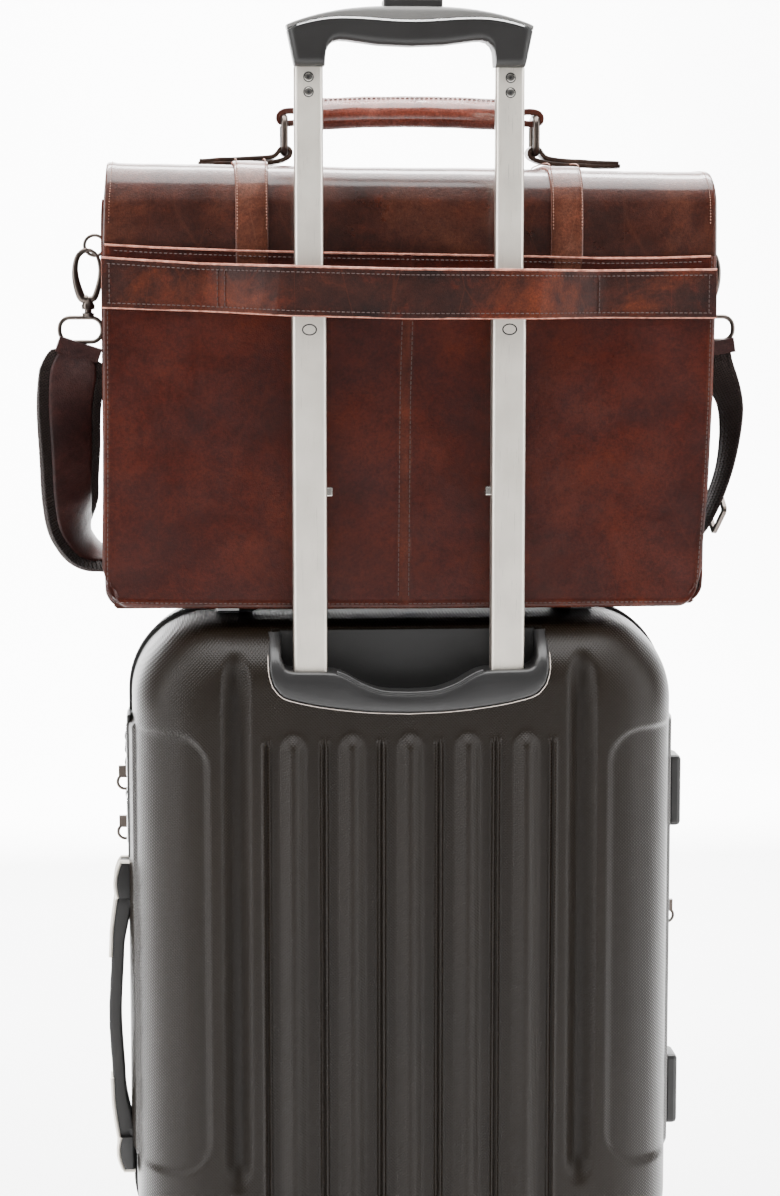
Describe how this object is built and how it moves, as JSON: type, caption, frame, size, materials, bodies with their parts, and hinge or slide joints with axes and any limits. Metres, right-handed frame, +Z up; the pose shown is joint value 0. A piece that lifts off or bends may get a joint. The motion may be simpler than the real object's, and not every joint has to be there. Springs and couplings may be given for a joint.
{
  "type": "rolling laptop case",
  "caption": "Leather flap laptop case held by a rear band on the telescopic handle of a ribbed hard-shell spinner cabin case.",
  "frame": {"origin": "on the floor, midway between the handle tubes in X and on the zip's plane in Y", "axes": "+Z up; +X to the right of someone behind the handle; the handle is on the -Y side"},
  "size_m": [0.513, 0.2328, 0.962],
  "materials": {
    "shell": "moulded polycarbonate, graphite bronze, fine diamond texture",
    "zip_tape": "black woven zip tape",
    "black_plastic": "satin black moulded plastic",
    "grey_plastic": "grey satin plastic",
    "aluminium": "satin anodised, warm silver",
    "chrome": "polished trim",
    "wheel": "soft black tread",
    "brown_leather": "polished dark brown leather, mottled",
    "belt_leather": "brown leather with raw edges",
    "lining": "brown lining cloth over padding",
    "gunmetal": "gunmetal plating",
    "webbing": "dark brown woven webbing",
    "pad_leather": "soft dark leather over foam"
  },
  "bodies": {
    "hard_case": {"rear_shell": "shell", "zip_band_rear": "zip_tape", "handle_bezel": "black_plastic", "guide_tube_left": "aluminium", "guide_tube_right": "aluminium", "guide_foot": "black_plastic", "side_handle_mount_upper": "chrome", "side_handle_mount_lower": "chrome", "top_handle": "black_plastic", "side_foot_upper": "black_plastic", "side_foot_lower": "black_plastic", "lock_body": "black_plastic", "wheel_carrier_rear": "black_plastic"},
    "lid": {"front_shell": "shell", "zip_band_front": "zip_tape", "wheel_carrier_front": "black_plastic"},
    "lower_handle": {"lower_tube_left": "aluminium", "lower_tube_right": "aluminium"},
    "upper_handle": {"upper_tube_left": "aluminium", "upper_tube_right": "aluminium", "grip_body": "black_plastic", "grip_cover": "grey_plastic"},
    "release_button": {"release_button": "black_plastic"},
    "detent_left": {"detent_button_left": "chrome"},
    "detent_right": {"detent_button_right": "chrome"},
    "side_handle": {"side_handle_grip": "black_plastic"},
    "zip_pull_upper": {"zip_pull_upper": "gunmetal"},
    "zip_pull_lower": {"zip_pull_lower": "gunmetal"},
    "expander_pull": {"expander_zip_pull": "gunmetal"},
    "laptop_case": {"case_rear_panel": "brown_leather", "case_front_panel": "brown_leather", "case_gusset": "brown_leather", "laptop_divider": "lining", "rear_pocket": "brown_leather", "trolley_band": "belt_leather", "side_ring_left": "gunmetal", "side_ring_right": "gunmetal"},
    "flap": {"flap": "brown_leather", "belt_left": "belt_leather", "belt_right": "belt_leather", "belt_buckle_left": "gunmetal", "belt_buckle_right": "gunmetal", "handle_tab_left": "belt_leather", "handle_tab_right": "belt_leather"},
    "handle_ring_left": {"handle_ring_left": "gunmetal"},
    "handle_ring_right": {"handle_ring_right": "gunmetal"},
    "carry_handle": {"carry_handle": "belt_leather"},
    "shoulder_strap": {"snap_hook_left": "gunmetal", "snap_hook_right": "gunmetal", "shoulder_strap": "webbing", "shoulder_pad": "pad_leather", "strap_buckle": "gunmetal"},
    "caster_rear_left": {"caster_fork_rear_left": "black_plastic"},
    "wheel_rear_left": {"caster_wheel_rear_left": "wheel"},
    "caster_rear_right": {"caster_fork_rear_right": "black_plastic"},
    "wheel_rear_right": {"caster_wheel_rear_right": "wheel"},
    "caster_front_left": {"caster_fork_front_left": "black_plastic"},
    "wheel_front_left": {"caster_wheel_front_left": "wheel"},
    "caster_front_right": {"caster_fork_front_right": "black_plastic"},
    "wheel_front_right": {"caster_wheel_front_right": "wheel"}
  },
  "joints": [
    {"name": "lid_hinge", "type": "hinge", "parent": "hard_case", "child": "lid", "pos_m": [0.1962, 0, 0.3], "axis": [0, 0, -1], "range_deg": [0, 95]},
    {"name": "lower_handle_slide", "type": "slide", "parent": "hard_case", "child": "lower_handle", "axis": [0, 0, 1], "range_m": [-0.264, 0]},
    {"name": "upper_handle_slide", "type": "slide", "parent": "lower_handle", "child": "upper_handle", "axis": [0, 0, 1], "range_m": [-0.148, 0]},
    {"name": "release_button_press", "type": "slide", "parent": "upper_handle", "child": "release_button", "axis": [0, 0, -1], "range_m": [0, 0.003], "stiffness_N_per_m": 600, "springref_m": -0.001},
    {"name": "detent_press_left", "type": "slide", "parent": "lower_handle", "child": "detent_left", "axis": [-1, 0, 0], "range_m": [0, 0.002], "stiffness_N_per_m": 300, "springref_m": -0.001},
    {"name": "detent_press_right", "type": "slide", "parent": "lower_handle", "child": "detent_right", "axis": [1, 0, 0], "range_m": [0, 0.002], "stiffness_N_per_m": 300, "springref_m": -0.001},
    {"name": "side_handle_pull", "type": "slide", "parent": "hard_case", "child": "side_handle", "axis": [-1, 0, 0], "range_m": [0, 0.004], "stiffness_N_per_m": 400, "springref_m": -0.001},
    {"name": "zip_pull_upper_swing", "type": "hinge", "parent": "hard_case", "child": "zip_pull_upper", "pos_m": [-0.1975, -0.0005, 0.43], "axis": [0, 1, 0], "range_deg": [0, 80]},
    {"name": "zip_pull_lower_swing", "type": "hinge", "parent": "hard_case", "child": "zip_pull_lower", "pos_m": [-0.1975, -0.0005, 0.393], "axis": [0, 1, 0], "range_deg": [0, 80]},
    {"name": "expander_pull_swing", "type": "hinge", "parent": "hard_case", "child": "expander_pull", "pos_m": [0.1975, -0.0095, 0.325], "axis": [0, -1, 0], "range_deg": [0, 80]},
    {"name": "case_lift_off", "type": "slide", "parent": "hard_case", "child": "laptop_case", "axis": [0, 0, 1], "range_m": [0, 0.45]},
    {"name": "flap_hinge", "type": "hinge", "parent": "laptop_case", "child": "flap", "pos_m": [0, -0.0825, 0.8483], "axis": [1, 0, 0], "range_deg": [0, 50]},
    {"name": "handle_ring_left_tilt", "type": "hinge", "parent": "flap", "child": "handle_ring_left", "pos_m": [-0.082, -0.015, 0.8622], "axis": [0, 1, 0], "range_deg": [-50, 50]},
    {"name": "handle_ring_right_tilt", "type": "hinge", "parent": "flap", "child": "handle_ring_right", "pos_m": [0.097, -0.015, 0.8622], "axis": [0, 1, 0], "range_deg": [-50, 50]},
    {"name": "carry_handle_tilt", "type": "hinge", "parent": "handle_ring_left", "child": "carry_handle", "pos_m": [-0.082, -0.015, 0.8868], "axis": [0, 1, 0], "range_deg": [-50, 50]},
    {"name": "shoulder_strap_swing", "type": "hinge", "parent": "laptop_case", "child": "shoulder_strap", "pos_m": [0, -0.019, 0.7885], "axis": [1, 0, 0], "range_deg": [0, 30]},
    {"name": "caster_swivel_rear_left", "type": "hinge", "parent": "hard_case", "child": "caster_rear_left", "pos_m": [-0.148, -0.071, 0.0465], "axis": [0, 0, 1], "continuous": true},
    {"name": "wheel_spin_rear_left", "type": "hinge", "parent": "caster_rear_left", "child": "wheel_rear_left", "pos_m": [-0.148, -0.082, 0.019], "axis": [1, 0, 0], "continuous": true},
    {"name": "caster_swivel_rear_right", "type": "hinge", "parent": "hard_case", "child": "caster_rear_right", "pos_m": [0.148, -0.071, 0.0465], "axis": [0, 0, 1], "continuous": true},
    {"name": "wheel_spin_rear_right", "type": "hinge", "parent": "caster_rear_right", "child": "wheel_rear_right", "pos_m": [0.148, -0.082, 0.019], "axis": [1, 0, 0], "continuous": true},
    {"name": "caster_swivel_front_left", "type": "hinge", "parent": "lid", "child": "caster_front_left", "pos_m": [-0.148, 0.071, 0.0465], "axis": [0, 0, 1], "continuous": true},
    {"name": "wheel_spin_front_left", "type": "hinge", "parent": "caster_front_left", "child": "wheel_front_left", "pos_m": [-0.148, 0.06, 0.019], "axis": [1, 0, 0], "continuous": true},
    {"name": "caster_swivel_front_right", "type": "hinge", "parent": "lid", "child": "caster_front_right", "pos_m": [0.148, 0.071, 0.0465], "axis": [0, 0, 1], "continuous": true},
    {"name": "wheel_spin_front_right", "type": "hinge", "parent": "caster_front_right", "child": "wheel_front_right", "pos_m": [0.148, 0.06, 0.019], "axis": [1, 0, 0], "continuous": true}
  ],
  "couplings": [
    {"joint": "handle_ring_right_tilt", "follows": "handle_ring_left_tilt", "ratio": 1},
    {"joint": "carry_handle_tilt", "follows": "handle_ring_left_tilt", "ratio": -1}
  ]
}
